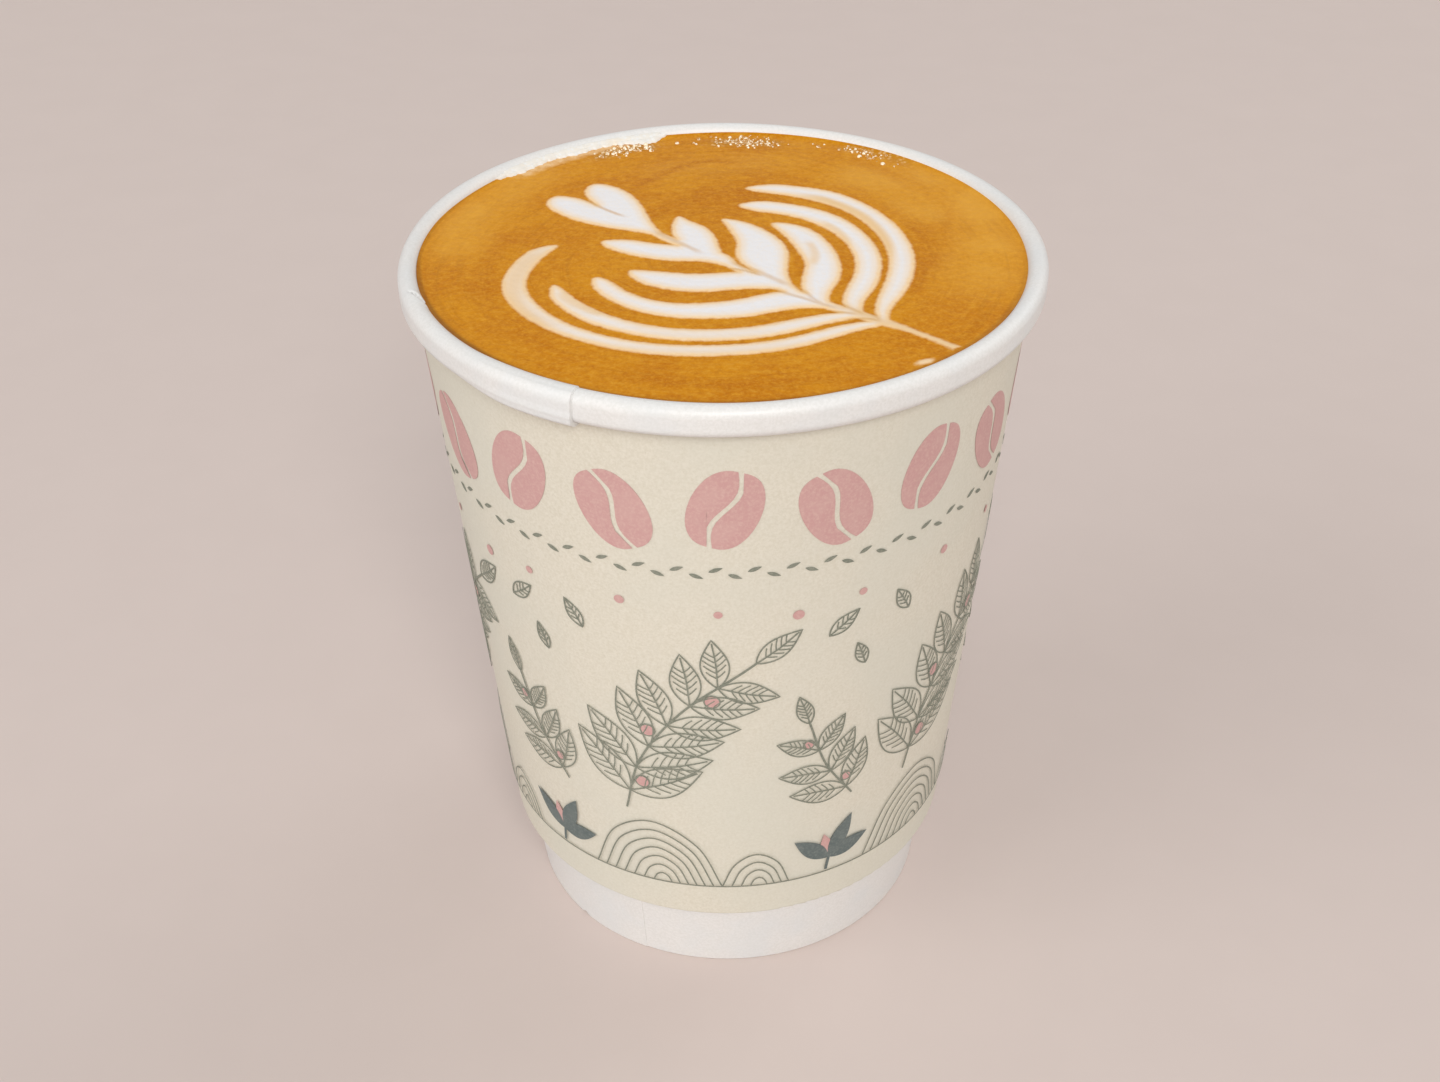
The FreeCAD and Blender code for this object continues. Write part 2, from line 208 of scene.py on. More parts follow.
def white_paper():
    """Coated white board of the cup: smooth, with a faint fibre and slow waves."""
    n = Nodes("coated_white_paper")
    fibre = n.noise(scale=2600, detail=4)
    clouds = n.noise(scale=120, detail=2)
    waves = n.noise(scale=90, detail=1)
    colour = n.between(fibre, 0.35, 0.65, (223, 221, 217), (230, 228, 225))
    colour = n.layer(colour, clouds, 0.4, 0.7, 0.4, (218, 221, 222))
    wavy = n.bump(waves, strength=0.3, distance=0.0004)
    normal = n.bump(fibre, strength=0.10, distance=0.00004, under=wavy)
    return n.finish(colour, n.ramp(fibre, 0.3, 0.7, 0.34, 0.46), normal, IOR=1.5)


def wrap_fibre(n):
    """Fibre of the outer layer's paper and its relief, the same in the bare paper and in the ink."""
    fibre = n.noise(scale=2400, detail=4, roughness=0.65)
    return fibre, n.bump(fibre, strength=0.3, distance=0.00004)


def wrap_paper():
    """Uncoated cream paper of the outer layer: fine fibres and a slow change of tone."""
    n = Nodes("uncoated_cream_paper")
    fibre, normal = wrap_fibre(n)
    clouds = n.noise(scale=40, detail=2)
    speck = n.noise(scale=3600, detail=2, vector=n.stretch(n.place, (1.0, 1.0, 0.35)))
    colour = n.between(fibre, 0.3, 0.7, (213, 206, 188), (224, 218, 203))
    colour = n.layer(colour, clouds, 0.35, 0.65, 0.5, (213, 211, 197))
    colour = n.layer(colour, speck, 0.66, 0.76, 0.4, (200, 191, 170))
    return n.finish(colour, n.ramp(fibre, 0.3, 0.7, 0.62, 0.78), normal, IOR=1.45)


def ink(name, colour, worn):
    """Printed ink: matte, soaked unevenly into the paper's fibres."""
    n = Nodes(name)
    fibre, normal = wrap_fibre(n)
    blotch = n.noise(scale=260, detail=2)
    shade = n.between(fibre, 0.4, 0.75, colour, worn)
    shade = n.layer(shade, blotch, 0.45, 0.7, 0.3, worn)
    return n.finish(shade, n.ramp(fibre, 0.3, 0.7, 0.6, 0.75), normal, IOR=1.45)


def drink_look():
    """Mottled crema with faint rings, and milk foam where the distance inside its edge is above 0."""
    n = Nodes("crema_and_milk_foam")
    inside = n.attribute("foam_inside")
    flow = n.vector(n.attribute("flow_across"), n.attribute("flow_along"), 0.0)
    drawn_out = n.stretch(flow, (1.0, 0.10, 1.0))
    rings = n.noise(0.55, detail=4, roughness=0.6, distortion=1.2, vector=drawn_out)
    short = n.stretch(flow, (1.0, 0.22, 1.0))
    streaks = n.noise(1.3, detail=4, roughness=0.65, distortion=1.8, vector=short)
    clouds = n.noise(scale=110, detail=3, distortion=0.6)
    mottle = n.noise(scale=900, detail=4, roughness=0.65)
    grain = n.noise(scale=2300, detail=2)

    # The crema: its own mottling, then the soft bands painted on it, with painted sheen on the paler
    # drifts and painted shade along the wall.
    crema = n.between(clouds, 0.32, 0.68, (195, 119, 0), (207, 135, 10))
    crema = n.layer(crema, mottle, 0.46, 0.70, 0.55, (220, 154, 40))
    crema = n.layer(crema, mottle, 0.48, 0.30, 0.50, (178, 103, 0))
    crema = n.layer(crema, rings, 0.50, 0.72, 0.50, (180, 107, 0))
    crema = n.layer(crema, rings, 0.44, 0.26, 0.30, (220, 156, 40))
    crema = n.layer(crema, streaks, 0.54, 0.74, 0.25, (186, 110, 0))
    crema = n.layer(crema, streaks, 0.44, 0.26, 0.25, (226, 164, 48))
    # Paler drifts: partly the crema's own tone, partly painted sheen.
    pale = n.maths("MULTIPLY", n.attribute("pale_crema_and_sheen"), n.ramp(clouds, 0.66, 0.36, 0.45, 1.0))
    crema = n.mix(pale, crema, linear(232, 171, 62))
    deep = n.maths("MULTIPLY", n.attribute("deep_crema"), n.ramp(mottle, 0.62, 0.36, 0.45, 1.0))
    crema = n.mix(deep, crema, linear(180, 102, 0))
    crema = n.layer(crema, grain, 0.42, 0.7, 0.25, (228, 172, 66))
    # Painted shade: darker crema in a line along the wall, darkest at the front left.
    crema = n.mix(n.attribute("painted_wall_shade"), crema, linear(112, 62, 4))
    net = n.between(n.cells(scale=1500), 0.12, 0.55, (240, 216, 168), (176, 120, 34))
    fizz = n.maths("MULTIPLY", n.attribute("fine_froth"), n.ramp(mottle, 0.40, 0.56, 0.35, 1.0))
    crema = n.mix(fizz, crema, net)

    # The milk: tan at its ragged edge, white inside, with the tints and creases painted on it.
    ragged = n.maths("SUBTRACT", n.noise(scale=900, detail=2), 0.5)
    edge = n.maths("ADD", inside, n.maths("MULTIPLY", ragged, 0.4))
    milk = n.between(edge, 0.1, 0.9, (243, 208, 160), (241, 226, 210))
    milk = n.layer(milk, edge, 0.7, 1.9, 1.0, (236, 233, 233))
    milk = n.layer(milk, grain, 0.45, 0.7, 0.25, (242, 227, 207))
    milk = n.mix(n.attribute("foam_tint"), milk, linear(234, 198, 148))
    milk = n.mix(n.attribute("foam_crease"), milk, linear(206, 160, 98))

    colour = n.mix(n.ramp(edge, -0.40, 0.18), crema, milk)
    grainy = n.bump(grain, strength=0.15, distance=0.00015)
    normal = n.bump(n.cells(scale=3400), strength=0.12, distance=0.00008, under=grainy)
    roughness = n.ramp(grain, 0.3, 0.7, 0.32, 0.44)
    return n.finish(colour, roughness, normal, IOR=1.36, Specular_IOR_Level=0.14)


def bubble_look():
    """Thin skin of a bubble: glossy, and cream white in patches that are painted glints."""
    n = Nodes("bubble_skin")
    painted_glint = n.noise(scale=1700, detail=1)
    # Cream white here is a painted glint.
    colour = n.between(painted_glint, 0.44, 0.54, (190, 136, 56), (250, 236, 206))
    return n.finish(colour, 0.06, IOR=1.45, Coat_Weight=1.0, Coat_Roughness=0.03)


def froth_look():
    """Drying froth: cream white, yellower in patches."""
    n = Nodes("dried_froth")
    cell = n.cells(scale=1500)
    patch = n.noise(scale=400, detail=2)
    colour = n.between(cell, 0.1, 0.6, (235, 234, 231), (234, 229, 220))
    colour = n.layer(colour, patch, 0.56, 0.74, 0.4, (234, 214, 180))
    return n.finish(colour, 0.35, n.bump(cell, strength=0.4, distance=0.0001), IOR=1.36)


# ---- meshes

def piece(name, points, faces, material, slot, sharp=40, attributes=None):
    """New closed mesh piece from points in millimetres, riding on the cup; its faces turn outward."""
    points = np.asarray(points, float)
    corners = [(face[0], face[k], face[k + 1]) for face in faces for k in range(1, len(face) - 1)]
    a, b, c = points[np.asarray(corners, int)].transpose(1, 0, 2)
    if np.einsum("ij,ij->", a, np.cross(b, c)) < 0:
        faces = [face[::-1] for face in faces]
    mesh = bpy.data.meshes.new(name)
    mesh.from_pydata((points * MM).tolist(), [], [[int(corner) for corner in face] for face in faces])
    mesh.materials.append(material)
    mesh.polygons.foreach_set("use_smooth", [True] * len(mesh.polygons))
    mesh.set_sharp_from_angle(angle=math.radians(sharp))
    for key, values in (attributes or {}).items():
        layer = mesh.attributes.new(key, "FLOAT", "POINT")
        layer.data.foreach_set("value", np.asarray(values, np.float32))
    mesh.update()
    made = bpy.data.objects.new(name, mesh)
    bpy.context.scene.collection.objects.link(made)
    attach(made, "root")
    return made


def band(faces, first, second, count):
    """Add the quads between two rings of vertices, each ring given by its first vertex."""
    for step in range(count):
        after = (step + 1) % count
        faces.append((first + step, first + after, second + after, second + step))


def smooth_step(values, low, high):
    """Smooth step from 0 at low to 1 at high."""
    share = np.clip((values - low) / (high - low), 0, 1)
    return share * share * (3 - 2 * share)


def turned(shape, angle, place):
    """Flat shape turned by an angle and moved to a place."""
    c, s = math.cos(math.radians(angle)), math.sin(math.radians(angle))
    x, y = np.asarray(shape, float).T
    return np.column_stack([x * c - y * s, x * s + y * c]) + place


def curve(points, spacing=0.8):
    """Smooth open path through a few points, in steps of about the spacing."""
    knots = np.asarray(points, float)
    if len(knots) == 2:
        knots = np.array([knots[0], knots.mean(0), knots[1]])
    ends = np.vstack([2 * knots[0] - knots[1], knots, 2 * knots[-1] - knots[-2]])
    path = [knots[0]]
    for k in range(1, len(ends) - 2):
        p0, p1, p2, p3 = ends[k - 1:k + 3]
        steps = max(2, int(math.ceil(np.hypot(*(p2 - p1)) / spacing)))
        for step in range(1, steps + 1):
            s = step / steps
            path.append(0.5 * (2 * p1 + (p2 - p0) * s + (2 * p0 - 5 * p1 + 4 * p2 - p3) * s ** 2
                               + (3 * p1 - p0 - 3 * p2 + p3) * s ** 3))
    return np.array(path)


# ---- the paper cup

PAPER = 0.35
RIM_WIDTH = 2.8
RIM_DROP = 4.4
CURL_GAP = 0.25
FOLD_HEIGHT = 6.0
SLOT = 0.44           # room between the wall and its fold, for the skirt of the base
FOOT_ROUND = 0.3
SEAM = 114.3          # clockwise from +X, seen from above
LAP_WIDTH = 12.8
LAP_PAPER = 0.28
# How much of the lap's thickness shows at each part of the section.
LAP_AT_FOOT = 0.3
LAP_UNDER_RIM = 2.2
LAP_LOW_ON_RIM = 1.5
LAP_ON_RIM = 1.0
LAP_ON_CROWN = 0.6
LAP_INSIDE_RIM = 0.15
# The groove beside the lap's edge: its depth, and its place and width round the cup.
GROOVE_DEPTH = 0.12
GROOVE_TURN = 0.12
GROOVE_WIDTH = 0.10
# The rolled rim is never quite even: it swells, dips and waves a little on its way round.
RIM_SWELL = 0.05
RIM_WAVE = 0.06
# The crease runs aslant over the rim's top: a sharp furrow on a soft ridge.
CREASE_START = (-41.6, -13.3)
CREASE_END = (-39.1, -16.0)
FURROW_DEPTH = 0.62
FURROW_WIDTH = 0.2
RIDGE_HEIGHT = 0.16
RIDGE_WIDTH = 0.9
# The nick in the foot's fold where the under layer of the lap ends.
NICK_HEIGHT = 0.45
NICK_TURN = 0.8
NICK_REACH = 1.6


def arc(x, z, radius, start, end, steps):
    """Points on a circle from one angle to another, counted from +X."""
    angles = [math.radians(start + (end - start) * k / steps) for k in range(steps + 1)]
    return [(x + radius * math.cos(angle), z + radius * math.sin(angle)) for angle in angles]


def cup_section():
    """Closed section of the folded foot, wall and rolled rim, and how much each point carries a lap."""
    bead = RIM_WIDTH / 2
    core = bead - PAPER
    rim = CUP_RADIUS - bead
    lip = CUP_RADIUS - RIM_WIDTH
    neck = CUP_TOP - RIM_DROP
    top, low = CUP_TOP - bead, neck + bead
    lean = (lip + PAPER - FOOT_RADIUS) / neck
    curl_end = -math.degrees(math.acos((PAPER + CURL_GAP) / bead - 1))

    def outside(z):
        return FOOT_RADIUS + lean * z

    points, laps = [], []

    def add(places, lap=0.0):
        points.extend(places)
        laps.extend([lap] * len(places))

    # Up the outside, from the foot to the rim's neck.
    add(arc(FOOT_RADIUS - FOOT_ROUND, FOOT_ROUND, FOOT_ROUND, -90, 0, 5), LAP_AT_FOOT)
    add([(outside(z), z) for z in (2, 5, 8, 11, 13.5, 15)], LAP_AT_FOOT)
    add([(outside(z), z) for z in (16.5, 40, 70, 95, neck)])
    # Round the inside of the roll to its free edge, and back round the outside to the lip.
    add(arc(rim, top, core, 180, 0, 12))
    add(arc(rim, low, core, 0, curl_end, 10))
    add(arc(rim, low, bead, curl_end, -30, 16), LAP_UNDER_RIM)
    add(arc(rim, low, bead, -22, 0, 3), LAP_LOW_ON_RIM)
    add([(CUP_RADIUS, low + (top - low) * k / 4) for k in range(1, 4)], LAP_ON_RIM)
    add(arc(rim, top, bead, 0, 60, 10), LAP_ON_RIM)
    add(arc(rim, top, bead, 66, 120, 9), LAP_ON_CROWN)
    add(arc(rim, top, bead, 126, 180, 9), LAP_INSIDE_RIM)
    # Down the inside, and up and down the fold of the foot.
    add([(lip, z) for z in (top - 0.6, top - 1.4, neck)])
    add([(outside(z) - PAPER, z) for z in (95, 70, 40, 15, PAPER)])
    for z, layers in ((PAPER, 1), (FOLD_HEIGHT, 1), (FOLD_HEIGHT, 2), (0, 2)):
        add([(outside(z) - layers * PAPER - SLOT, z)])
    return np.array(points), np.array(laps)


def cup_turns():
    """Angles of the cup's sections: even all round, and close together at the lap and the crease."""
    creased = math.degrees(math.atan2(CREASE_START[1], CREASE_START[0]))
    at_seam = -SEAM + np.array([-0.03, 0.0, 0.06, 0.12, 0.18, 0.26, 0.36])
    at_crease = np.arange(creased - 3, creased + 9, 0.12)
    turns = np.concatenate([np.arange(-180, 180, 0.6), at_seam, at_crease])
    return np.unique(np.round(turns, 3))


def crease(x, y, height):
    """How far the crease pushes each point of the rim outward; below 0 is inward."""
    start, end = np.array(CREASE_START), np.array(CREASE_END)
    run = (end - start) / np.hypot(*(end - start))
    side = (x - start[0]) * -run[1] + (y - start[1]) * run[0]
    along = (x - start[0]) * run[0] + (y - start[1]) * run[1]
    span = smooth_step(along, -0.6, 0.6) * (1 - smooth_step(along, 3.8, 4.8))
    upper = smooth_step(height, CUP_TOP - 2.2, CUP_TOP - 1.4)
    ridge = RIDGE_HEIGHT * np.exp(-(side / RIDGE_WIDTH) ** 2)
    furrow = FURROW_DEPTH * np.exp(-(side / FURROW_WIDTH) ** 2)
    return (ridge - furrow) * upper * span


def cup_paper():
    """Whole white cup as one strip of paper, with its glued lap, a creased rim and small waves."""
    section, laps = cup_section()
    turns = cup_turns()
    ahead = np.roll(section, -1, 0) - np.roll(section, 1, 0)
    out = np.column_stack([ahead[:, 1], -ahead[:, 0]])
    out /= np.maximum(np.hypot(*out.T), 1e-9)[:, None]
    radians = np.radians(turns)[:, None]
    shape = (len(turns), len(section))
    radius, height = (np.broadcast_to(values, shape).copy() for values in section.T)

    past = (-SEAM - turns)[:, None] % 360
    along = np.radians(past) * radius
    over = np.where(past < 90, 1 - smooth_step(along, LAP_WIDTH - 4.0, LAP_WIDTH + 8.0), 0.0)
    groove = np.exp(-((360 - past - GROOVE_TURN) / GROOVE_WIDTH) ** 2)
    raised = LAP_PAPER * over - GROOVE_DEPTH * groove * smooth_step(laps, 0.5, 0.7)

    neck = CUP_TOP - RIM_DROP
    rolled = smooth_step(height, neck, neck + 1.0) * (radius > CUP_RADIUS - RIM_WIDTH - 0.1)
    swell = RIM_SWELL * rolled * (np.sin(3 * radians + 1) + 0.7 * np.sin(7 * radians + 2.2))
    lift = raised * laps + swell
    height = height + lift * out[:, 1] + RIM_WAVE * rolled * np.sin(5 * radians + 0.4)
    radius = radius + lift * out[:, 0]

    fold = crease(radius * np.cos(radians), radius * np.sin(radians), height)
    radius, height = radius + fold * out[:, 0], height + fold * out[:, 1]

    nick = np.exp(-((past - math.degrees(LAP_WIDTH / FOOT_RADIUS)) / NICK_TURN) ** 2)
    height = height + NICK_HEIGHT * nick * (1 - smooth_step(height, 0.0, NICK_REACH))
    height = np.maximum(height, 0.0)

    points = np.stack([radius * np.cos(radians), radius * np.sin(radians), height], -1).reshape(-1, 3)
    columns, count = shape
    faces = []
    for a in range(columns):
        b = (a + 1) % columns
        for k in range(count):
            after = (k + 1) % count
            faces.append((a * count + k, b * count + k, b * count + after, a * count + after))
    made = piece("cup_paper", points, faces, white_paper(), "white_paper", sharp=50)
    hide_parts("cup_wall")


# ---- the drink

def foam_outline():
    """Segments of the milk foam's outline on its top face, as pairs of (x, y)."""
    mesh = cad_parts["milk_foam"].data
    places = vertices("milk_foam")
    flat = [tuple(place) for place in np.round(places[:, :2], 4)]
    seen = {}
    for face in mesh.polygons:
        corners = list(face.vertices)
        if places[corners, 2].min() < FOAM_TOP - 0.01:
            continue
        for a, b in zip(corners, corners[1:] + corners[:1]):
            key = tuple(sorted((flat[a], flat[b])))
            seen[key] = seen.get(key, 0) + 1
    return np.array([pair for pair, count in seen.items() if count == 1])


def distance_inside(points, segments):
    """Distance from each point to the outline, above 0 inside it."""
    nearest = np.full(len(points), 1e9)
    crossings = np.zeros(len(points), int)
    for (ax, ay), (bx, by) in segments:
        run = np.array([bx - ax, by - ay])
        offset = points - (ax, ay)
        share = np.clip(offset @ run / max(run @ run, 1e-12), 0, 1)
        gap = offset - share[:, None] * run
        np.minimum(nearest, (gap ** 2).sum(1), out=nearest)
        spans = (ay > points[:, 1]) != (by > points[:, 1])
        if by != ay:
            at = ax + (points[:, 1] - ay) / (by - ay) * (bx - ax)
            crossings += spans & (points[:, 0] < at)
    return np.sqrt(nearest) * np.where(crossings % 2 == 1, 1, -1)


def painted(points, strokes):
    """Strength of soft strokes at each point: each is a path, its half width and its strength.

    A stroke is strongest on its middle line and fades over the first and last fifth of its length.
    """
    total = np.zeros(len(points))
    for path, width, strength in strokes:
        path = curve(path, 0.7)
        nearest = np.full(len(points), 1e9)
        share_at = np.zeros(len(points))
        for k, (a, b) in enumerate(zip(path, path[1:])):
            run = b - a
            offset = points - a
            share = np.clip(offset @ run / (run @ run), 0, 1)
            gap = np.hypot(*(offset - share[:, None] * run).T)
            closer = gap < nearest
            nearest[closer] = gap[closer]
            share_at[closer] = ((k + share) / (len(path) - 1))[closer]
        fade = smooth_step(share_at, -0.05, 0.2) * (1 - smooth_step(share_at, 0.8, 1.05))
        soft = 1 - smooth_step(nearest, 0.1 * width, width)
        total = np.maximum(total, strength * fade * soft)
    return total


# Tan milk: in the right leaves, from the outermost inward, then in the left ones and on the stem.
TINTS = (
    (((10.5, 18.8), (14.6, 17.1), (18.3, 13.6), (20.6, 10.3), (22.2, 6.0), (23.0, 1.5), (22.8, -4)),
     1.7, 0.95),
    (((14.2, 9.6), (16.0, 7.0), (17.2, 4.2), (17.9, 1.0)), 1.0, 0.6),
    (((12.0, 3.2), (12.7, 0.5), (12.9, -2.0), (12.4, -5.0)), 1.1, 0.6),
    (((-23.4, 2.4), (-26.2, -1.2), (-27.9, -5.8), (-28.3, -10.5), (-27.2, -15.2), (-24.4, -19.8),
      (-20.5, -23.6)), 2.1, 0.72),
    (((-22.2, -11.6), (-20.4, -14.6), (-18.0, -17.0), (-15.4, -19.0)), 1.2, 0.6),
    (((-25.5, -19.5), (-19.0, -25.0), (-11.0, -28.0), (-2.0, -29.0), (8.0, -27.6), (14.0, -25.4)),
     1.6, 0.30),
    (((-14.0, -20.0), (-8.0, -23.6), (0.0, -24.6), (8.0, -22.4)), 1.4, 0.18),
    (((15.0, -15.6), (18.4, -19.2), (22.0, -22.4), (26.4, -25.4), (29.6, -28.8), (33.0, -33.0)),
     1.6, 0.8),
)
# Thin brownish creases: the heart's slit, the stem, and the ends of the gaps between leaves.
CREASES = (
    (((-20.8, 19.4), (-19.6, 17.2), (-17.8, 14.9), (-15.6, 12.8), (-13.8, 11.4)), 0.5, 0.65),
    (((-10.2, 7.4), (-8.2, 5.0), (-6.0, 2.8), (-4.2, 0.9), (-2.6, -0.8)), 0.75, 0.45),
    (((0.8, -3.2), (2.6, -4.6), (4.7, -6.4), (7.2, -8.9), (9.4, -11.2)), 0.85, 0.45),
    (((-0.5, -5.2), (1.8, -5.6), (3.8, -6.6), (5.8, -8.0)), 0.45, 0.65),
    (((5.0, -11.8), (7.0, -11.7), (8.6, -13.0), (10.8, -14.4), (13.4, -16.2), (16.0, -17.8)), 0.6, 0.5),
    (((9.8, -11.0), (11.2, -12.8), (12.2, -14.8), (13.6, -16.4)), 0.5, 0.5),
    (((10.8, -17.6), (13.2, -17.8), (15.6, -18.4), (17.8, -19.2)), 0.5, 0.6),
    (((14.8, -14.6), (15.8, -16.2), (17.2, -17.8), (18.6, -19.2)), 0.5, 0.5),
    (((15.8, -20.4), (17.6, -20.2), (19.4, -20.5), (20.6, -21.2)), 0.45, 0.6),
    (((19.1, -17.6), (19.7, -19.4), (20.6, -21.0)), 0.45, 0.45),
)
# The stem's tail, where the milk thins out.
TAIL = (
    (((20.8, -21.4), (23.4, -23.3), (26.4, -25.4), (28.4, -27.2), (31.0, -30.4), (33.0, -33.4)),
     1.8, 0.34),
)
# The soft edge of the froth along the wall.
HALO = (
    (((-12.0, 39.4), (-16.4, 38.0), (-21.0, 35.6), (-25.6, 32.2), (-29.6, 28.4), (-32.6, 24.6)),
     3.2, 0.46),
)
# Darker bands in the crema, where the pour has drawn it out.
DEEP = (
    (((-13.6, 21.0), (-11.2, 24.4), (-7.6, 28.4), (-2.4, 31.4), (3.6, 31.0)), 1.5, 0.75),
    (((-6.0, 14.0), (-2.4, 20.0), (3.0, 21.0), (6.0, 15.0)), 4.5, 0.55),
    (((-30.5, 6.0), (-32.6, -3.0), (-32.0, -12.0), (-28.6, -20.0)), 2.6, 0.45),
    (((-17.0, -33.4), (-6.0, -36.2), (6.0, -36.4), (18.0, -33.4)), 1.6, 0.55),
    (((-9.0, -39.4), (2.0, -40.4), (13.0, -38.6)), 1.2, 0.45),
    (((26.6, 12.0), (28.4, 4.0), (27.6, -6.0), (24.6, -14.0)), 2.6, 0.40),
)
# Broad paler drifts in the crema: partly its own paler tone, partly painted sheen, the lighter right side
# and back left standing for light reflected there.
PALE_AND_SHEEN = (
    (((26, 33), (33, 26), (37, 17), (38.5, 6), (36, -6), (31, -16)), 9.5, 0.65),
    (((-24, 31), (-30, 25), (-34, 17), (-37, 7), (-36, -4)), 7.0, 0.65),
    (((-14, 26), (-5, 29), (6, 31), (16, 31)), 6.0, 0.30),
    (((14, 28), (22, 24), (28, 16), (31, 6)), 7.0, 0.55),
)
# Fine froth on the drink along the back wall.
FIZZ = (
    (((-20.5, 33.0), (-17.0, 35.6), (-13.2, 37.4), (-9.6, 38.2)), 2.4, 0.9),
    (((-2.4, 38.4), (2.0, 39.0), (6.0, 38.6), (10.0, 37.6)), 2.2, 0.85),
    (((18.2, 36.4), (22.6, 34.6), (26.4, 32.0), (29.6, 28.8)), 1.8, 0.5),
)
# A fleck of thin foam beside the stem's end: its middle, its half length and width, its slant.
FLECK = (25.2, -31.7)
FLECK_LENGTH = 1.3
FLECK_WIDTH = 0.8
FLECK_SLANT = 0.4
FLECK_STRENGTH = 0.85
# What a stroke's strength loses to count as a distance inside the foam.
THIN_FOAM = 0.55

DISC_RINGS = 150
WALL_REACH = 0.15     # how far the drink reaches into the paper
MENISCUS = 0.25
SURFACE_SWELL = 0.05
SURFACE_FIZZ = 0.02
UNDER_SAG = 0.05


def disc(rings, radius):
    """Points and triangles of a disc of evenly spaced rings about the centre."""
    points = [(0.0, 0.0)]
    for ring in range(1, rings + 1):
        for step in range(6 * ring):
            angle = 2 * math.pi * step / (6 * ring)
            away = radius * ring / rings
            points.append((away * math.cos(angle), away * math.sin(angle)))
    faces = []
    first = [0] + [1 + 3 * ring * (ring - 1) for ring in range(1, rings + 1)]
    for ring in range(1, rings + 1):
        outer, inner = first[ring], first[ring - 1]
        count, fewer = 6 * ring, max(6 * (ring - 1), 1)
        for side in range(6):
            for step in range(ring):
                a = side * ring + step
                c = side * (ring - 1) + step
                faces.append((outer + a, outer + (a + 1) % count, inner + c % fewer))
                if step < ring - 1:
                    faces.append((inner + c % fewer, outer + (a + 1) % count, inner + (c + 1) % fewer))
    return np.array(points), faces


def foam_distance(flat):
    """Distance inside the milk foam at each point, with the thin tail, froth edge and fleck."""
    x, y = flat.T
    inside = distance_inside(flat, foam_outline())
    inside = np.maximum(inside - painted(flat, TAIL), painted(flat, HALO) - THIN_FOAM)
    along = x - FLECK[0]
    across = y - FLECK[1] - FLECK_SLANT * along
    fleck = FLECK_STRENGTH * np.exp(-(along / FLECK_LENGTH) ** 2 - (across / FLECK_WIDTH) ** 2)
    return np.maximum(inside, fleck - THIN_FOAM)


def drink_height(x, y, from_wall, inside):
    """Height of the drink's surface: raised foam, a meniscus, and soft swells with finer relief."""
    raised = (FOAM_TOP - LEVEL) * smooth_step(inside, -0.35, 0.5)
    meniscus = MENISCUS * np.exp(-from_wall / 0.5)
    swell = np.sin(x / 6.1 + 0.7 * np.sin(y / 7.3)) * np.cos(y / 5.2 + 0.5 * np.sin(x / 4.9))
    fizz = np.sin(x * 1.9 + 2 * np.sin(y * 1.3)) * np.sin(y * 2.3 + 2 * np.sin(x * 1.1))
    relief = (SURFACE_SWELL * swell + SURFACE_FIZZ * fizz) * smooth_step(from_wall, 0, 3)
    return LEVEL + raised + meniscus + relief


def painted_wall_shade(turn, from_wall):
    """Strength of the painted shade along the wall: widest at the front, darkest at the front left."""
    front = np.clip(-np.sin(turn), 0, 1)
    width = 0.45 + 1.25 * front
    wall_shade_share = 1 - smooth_step(from_wall, 0.4 * width, width)
    return wall_shade_share * (0.25 + 0.55 * front ** 0.5) * (0.65 - 0.35 * np.cos(turn))


def drink():
    """The whole drink as one closed piece: relief on top, and sides that reach just into the paper."""
    flat, faces = disc(DISC_RINGS, DRINK_RADIUS + WALL_REACH)
    x, y = flat.T
    out = np.hypot(x, y)
    turn = np.arctan2(y, x)
    inside = foam_distance(flat)
    points = np.column_stack([x, y, drink_height(x, y, DRINK_RADIUS - out, inside)])

    count = 6 * DISC_RINGS
    previous = len(flat) - count
    edge_turns = turn[previous:]
    upper, lower = DRINK_RADIUS + WALL_REACH, DRINK_FLOOR_RADIUS + WALL_REACH
    sagged = DRINK_FLOOR - UNDER_SAG
    for radius, z in ((upper, LEVEL - 1.5), (upper, LEVEL - 3.0), (lower, DRINK_FLOOR),
                      (DRINK_FLOOR_RADIUS * 0.5, sagged)):
        start = len(points)
        ring = [radius * np.cos(edge_turns), radius * np.sin(edge_turns), np.full(count, z)]
        points = np.vstack([points, np.column_stack(ring)])
        band(faces, start, previous, count)
        previous = start
    points = np.vstack([points, [(0, 0, sagged)]])
    for step in range(count):
        faces.append((previous + step, len(points) - 1, previous + (step + 1) % count))

    looks = {
        "foam_inside": inside,
        "foam_tint": painted(flat, TINTS),
        "foam_crease": painted(flat, CREASES),
        "pale_crema_and_sheen": painted(flat, PALE_AND_SHEEN),
        "deep_crema": painted(flat, DEEP),
        "painted_wall_shade": painted_wall_shade(turn, DRINK_RADIUS - out),
        "fine_froth": painted(flat, FIZZ),
        "flow_across": out + 1.2 * np.sin(3 * turn),
        "flow_along": turn * 25,
    }
    # The sides and the underside are plain crema, well outside the foam.
    spare = len(points) - len(flat)
    for name, values in looks.items():
        looks[name] = np.pad(values, (0, spare), constant_values=-9 if name == "foam_inside" else 0)
    made = piece("drink", points, faces, drink_look(), "crema", sharp=60, attributes=looks)
    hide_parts("coffee", "milk_foam")


